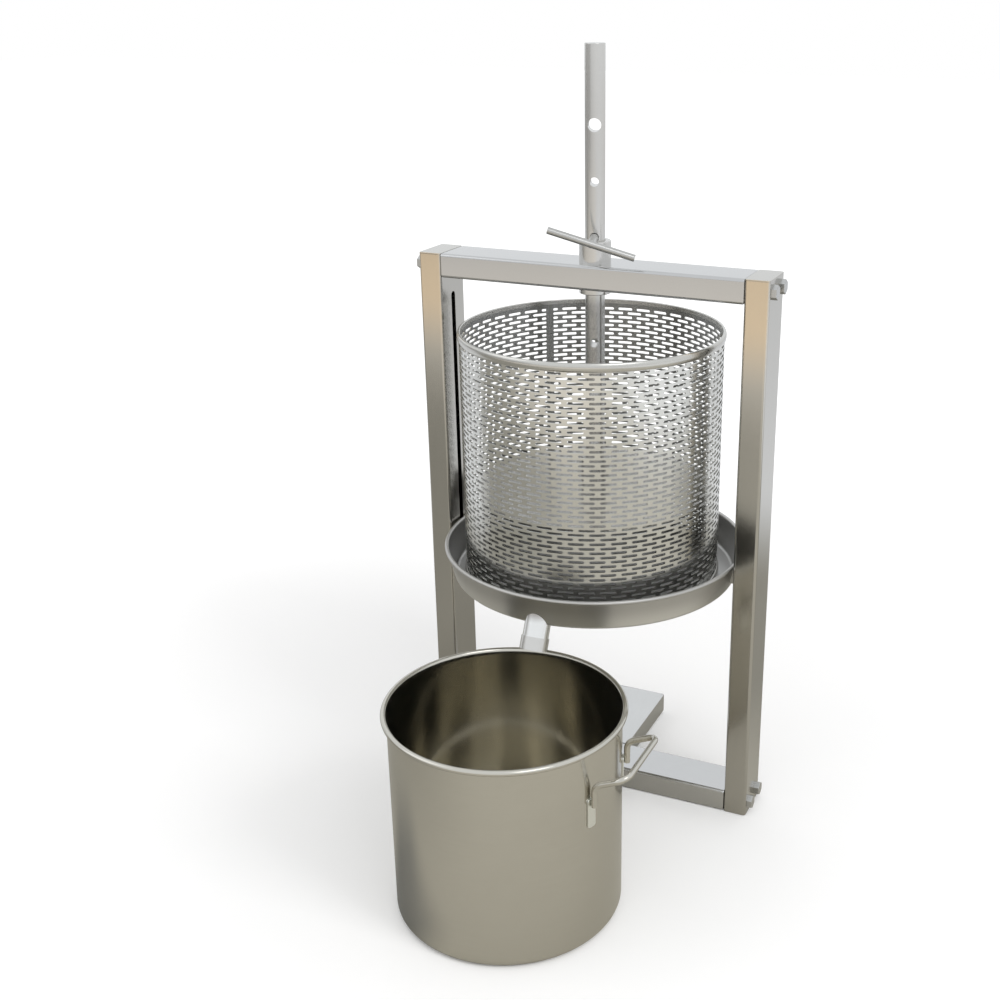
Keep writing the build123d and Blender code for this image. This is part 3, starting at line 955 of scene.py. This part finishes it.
def wire(route, radius):
    """A bmesh of round wire along a route."""
    curve = bpy.data.curves.new("wire", "CURVE")
    curve.dimensions = "3D"
    curve.bevel_depth = radius
    curve.bevel_resolution = WIRE_ROUNDNESS
    curve.use_fill_caps = True
    spline = curve.splines.new("POLY")
    spline.points.add(len(route) - 1)
    for point, place in zip(spline.points, route):
        point.co = (*place, 1)
    carrier = bpy.data.objects.new("wire", curve)
    bm = bmesh.new()
    bm.from_mesh(bpy.data.meshes.new_from_object(carrier))
    bpy.data.objects.remove(carrier)
    bmesh.ops.remove_doubles(bm, verts=bm.verts[:], dist=NEAR)
    bmesh.ops.recalc_face_normals(bm, faces=bm.faces[:])
    return bm


print("wire helpers ready")

# %% Pot handle
WIRE_RADIUS = 3.0 * MM
WIRE_BEND = 11.0 * MM
BEND_RISE = 22.0 * MM

low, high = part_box("pot_handle")
near_y, far_y = low.y + WIRE_RADIUS, high.y - WIRE_RADIUS
foot_x, bar_x = low.x + WIRE_RADIUS, high.x - WIRE_RADIUS
bend_z, bar_z = low.z + BEND_RISE, high.z - WIRE_RADIUS
corners = [
    Vector((foot_x, near_y, low.z)),
    Vector((foot_x, near_y, bend_z)),
    Vector((bar_x, near_y, bar_z)),
    Vector((bar_x, far_y, bar_z)),
    Vector((foot_x, far_y, bend_z)),
    Vector((foot_x, far_y, low.z)),
]
bent = wire(rounded_route(corners, WIRE_BEND), WIRE_RADIUS)
piece("handle_wire", bent, pot_steel, "pot", "pot_steel", "pot_handle")

# %% [markdown]
# Two small welded plates hold the wire's feet on the wall. Each is a block with rounded corners, made
# at the axis and then moved out and turned to lie on the round wall.

# %% Handle plates
PLATE_WIDTH = 10.0 * MM
PLATE_THICK = 1.5 * MM
PLATE_CORNER = 2.5 * MM
PLATE_EDGE = 0.4 * MM

low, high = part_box("handle_tabs")
plates = bmesh.new()
for foot_y in (near_y, far_y):
    half = Vector((PLATE_THICK / 2, PLATE_WIDTH / 2, (high.z - low.z) / 2))
    middle = Vector((0, 0, (high.z + low.z) / 2))
    plate = block(middle - half, middle + half, "X", PLATE_CORNER, PLATE_EDGE)
    outward = Vector((foot_x - pot_centre[0], foot_y - pot_centre[1], 0)).normalized()
    spot = Vector((*pot_centre, 0)) + outward * (POT_RADIUS + PLATE_THICK / 2)
    turn = Matrix.Rotation(math.atan2(outward.y, outward.x), 4, "Z")
    bmesh.ops.transform(plate, matrix=Matrix.Translation(spot) @ turn, verts=plate.verts[:])
    join(plates, plate)
piece("handle_plates", plates, tab_steel, "pot", "pot_steel", "handle_tabs")

# %% [markdown]
# ## True reflections
# Smooth shading averages the normals of neighbouring faces, so a narrow rounded edge would bend the
# reflection all across the flat side beside it. Weighted by area, the broad face wins, and flat tube
# and straight walls mirror like the real ones.

# %% Weighted normals
for made in pieces:
    weigh = made.modifiers.new("broad_faces_win", "WEIGHTED_NORMAL")
    weigh.mode = "FACE_AREA"
    weigh.keep_sharp = True
print("weighted normals on", len(pieces), "pieces")

# %% [markdown]
# ## Floor
# A plain pale floor. Polished steel looks like whatever lies round it, so the floor is white to the
# camera but shows the steel some tone: painted shade makes it grey close to the press and darker on its
# left; it is pale in front, and cool white behind, on the right and far to the left. Very far off it goes
# from grey on the left to white on the right. A short painted shadow, a dark streak beside the pot's
# foot, gives the pot its dark flank. Each pair of numbers is the stretch, in metres, over which one tone
# passes into another.

# %% Floor tones
FLOOR_WHITE = (0.96, 0.96, 0.96)
# Painted shade: the floor that the steel mirrors is grey close to the press and darker on its left.
FLOOR_PAINTED_SHADE = (0.38, 0.37, 0.33)
FLOOR_NEAR = (0.56, 0.54, 0.48)
FLOOR_FRONT = (0.97, 0.92, 0.84)
FLOOR_BACK = (0.88, 0.90, 0.93)
PAINTED_SHADE_LEFT, PAINTED_SHADE_BACK = (-0.60, 0.10), (0.00, 0.30)
FRONT = (-1.82, -1.14)
BACK, BACK_SIDE = (0.55, 0.95), (-0.60, 0.00)
RIGHT = (1.10, 1.60)
SIDE, SIDE_BACK = (-1.00, -0.70), (-0.40, 0.00)
# Painted shadow: a dark streak on the floor beside the pot's foot, seen in reflections only.
PAINTED_SHADOW_TONE = (0.29, 0.29, 0.275)
PAINTED_SHADOW_LINE = -0.315
PAINTED_SHADOW_WIDTH = (0.02, 0.10)
PAINTED_SHADOW_END, PAINTED_SHADOW_START = (-0.36, -0.16), (-0.07, 0.00)
FAR_LEFT_TONE, FAR_RIGHT_TONE = (0.50, 0.50, 0.50), (1.0, 1.0, 1.0)
FAR_AWAY, FAR_SPAN = (3.4, 4.4), (-6.0, 6.0)

floor_white, shader, start = new_material("floor_white")
place = start.node("TexCoord", out="Object")
floor_x, floor_y = place.axes()[:2]
bright = floor_x.rise(*PAINTED_SHADE_LEFT) * (1 - floor_y.rise(*PAINTED_SHADE_BACK))
off_line = start.node("Math", {"operation": "ABSOLUTE"}, {0: floor_y - PAINTED_SHADOW_LINE})
painted_shadow = (1 - off_line.rise(*PAINTED_SHADOW_WIDTH)) * floor_x.rise(*PAINTED_SHADOW_END) * (1 - floor_x.rise(*PAINTED_SHADOW_START))
near_tone = painted_shadow.tint(bright.tint(FLOOR_PAINTED_SHADE, FLOOR_NEAR), PAINTED_SHADOW_TONE)
in_front = 1 - floor_y.rise(*FRONT)
behind = floor_y.rise(*BACK) * floor_x.rise(*BACK_SIDE)
aside = (1 - floor_x.rise(*SIDE)) * floor_y.rise(*SIDE_BACK)
pale = start.math("MAXIMUM", start.math("MAXIMUM", behind, floor_x.rise(*RIGHT)), aside)
around = pale.tint(in_front.tint(near_tone, FLOOR_FRONT), FLOOR_BACK)
from_centre = start.node("VectorMath", {"operation": "LENGTH"}, {0: place}, out="Value")
far_tone = floor_x.rise(*FAR_SPAN).tint(FAR_LEFT_TONE, FAR_RIGHT_TONE)
mirrored = from_centre.rise(*FAR_AWAY).tint(around, far_tone)
seen = start.node("LightPath", out="Is Camera Ray")
feed(seen.tint(mirrored, FLOOR_WHITE), shader, "Base Color")
print("floor tones mixed with", len(floor_white.node_tree.nodes), "nodes")

# %% [markdown]
# Lamps light the floor less and less with distance. A glow that only the camera sees grows the other
# way, so that the floor runs into the white surround without a horizon, and the shadow near the press
# stays.

# %% Floor
FLOOR_GLOW = ((0.05, 0.05, 0.05), (0.36, 0.36, 0.36))
GLOW_SPAN = (0.40, 1.50)
FLOOR_SIZE = 12.0
FLOOR_DROP = 0.4 * MM
MATT = 0.9


def make_matt(shader):
    """Takes the shine off a surface of the stage."""
    shader.inputs["Roughness"].default_value = MATT
    shader.inputs["Specular IOR Level"].default_value = 0.0


glow = from_centre.rise(*GLOW_SPAN).tint(*FLOOR_GLOW)
feed(seen.tint((0, 0, 0), glow), shader, "Emission Color")
shader.inputs["Emission Strength"].default_value = 1.0
make_matt(shader)
floor_grid = bmesh.new()
bmesh.ops.create_grid(floor_grid, x_segments=1, y_segments=1, size=FLOOR_SIZE)
bmesh.ops.translate(floor_grid, vec=(0, 0, -FLOOR_DROP), verts=floor_grid.verts[:])
mesh = finished_mesh("floor", floor_grid)
mesh.materials.append(floor_white)
floor = bpy.data.objects.new("floor", mesh)
scene.collection.objects.link(floor)
print("floor laid")

# %% [markdown]
# ## Grey card
# A photographer sets a grey card beside polished bar, out of the picture, so that one flank goes dark
# and the bar reads as round. The card is seen by reflections only.

# %% Grey card
CARD_TONE = (0.58, 0.58, 0.57)
CARD_PLACE = Vector((-4.4, -3.4, 0.4))
CARD_SIZE = (8.6, 0.9)

card_grid = bmesh.new()
standing = Matrix.Rotation(math.radians(90), 4, "Y") @ Matrix.Rotation(math.radians(90), 4, "Z")
bmesh.ops.create_grid(card_grid, x_segments=1, y_segments=1, size=0.5)
bmesh.ops.scale(card_grid, vec=(*CARD_SIZE, 1), verts=card_grid.verts[:])
bmesh.ops.transform(card_grid, matrix=Matrix.Translation(CARD_PLACE) @ standing, verts=card_grid.verts[:])
card_grey, shader, _ = new_material("card_grey")
shader.inputs["Base Color"].default_value = (*CARD_TONE, 1)
make_matt(shader)
mesh = finished_mesh("grey_card", card_grid)
mesh.materials.append(card_grey)
card = bpy.data.objects.new("grey_card", mesh)
card.visible_camera = card.visible_diffuse = card.visible_shadow = False
scene.collection.objects.link(card)
print("grey card set")

# %% [markdown]
# ## Surround
# The world is plain white to the camera. To the steel it is a pale, cool sky, and as a light it is a
# little weaker, so that the lamps still shape the pieces.

# %% World
SURROUND_LIGHT = (0.84, 0.84, 0.84)
SKY_TINT = (0.93, 0.955, 0.975)
PLAIN_WHITE = (1, 1, 1)

world = bpy.data.worlds.new("studio")
world.use_nodes = True
scene.world = world
background = world.node_tree.nodes["Background"]
sky = Flow(world.node_tree)
rays = sky.node("LightPath").socket.node.outputs
camera_ray, glossy_ray, clear_ray = (
    Flow(world.node_tree, rays[name]) for name in ("Is Camera Ray", "Is Glossy Ray", "Is Transmission Ray")
)
shown = sky.math("MINIMUM", camera_ray + clear_ray, 1.0)
lit = glossy_ray.tint(SURROUND_LIGHT, SKY_TINT)
feed(shown.tint(lit, PLAIN_WHITE), background, "Color")
print("surround set")

# %% [markdown]
# ## Lamps
# Three soft lamps. The key and the fill give the round pieces their lines of light. The side lamp
# throws the soft shadow to the left, and is kept out of reflections, where its square would show on
# flat tube.

# %% Lamps
PRESS_MIDDLE = (0, 0, 0.35)
PRESS_FOOT = (0, 0, 0)


def soft_lamp(name, place, aim, size, power):
    """A square area lamp turned towards a point."""
    data = bpy.data.lights.new(name, "AREA")
    data.size = size
    data.energy = power
    lamp = bpy.data.objects.new(name, data)
    lamp.location = place
    lamp.rotation_euler = (Vector(aim) - Vector(place)).to_track_quat("-Z", "Y").to_euler()
    scene.collection.objects.link(lamp)
    return lamp


soft_lamp("key", (1.5, -1.3, 2.3), PRESS_MIDDLE, size=1.2, power=8.0)
side_lamp = soft_lamp("side", (2.3, -0.8, 2.1), PRESS_FOOT, size=0.9, power=21.0)
side_lamp.visible_glossy = False
soft_lamp("fill", (-1.8, -1.2, 1.9), PRESS_MIDDLE, size=1.6, power=4.0)
print("lamps:", [light.name for light in bpy.data.lights])

# %% Pieces dressed
print("dressed pieces:", len(pieces))
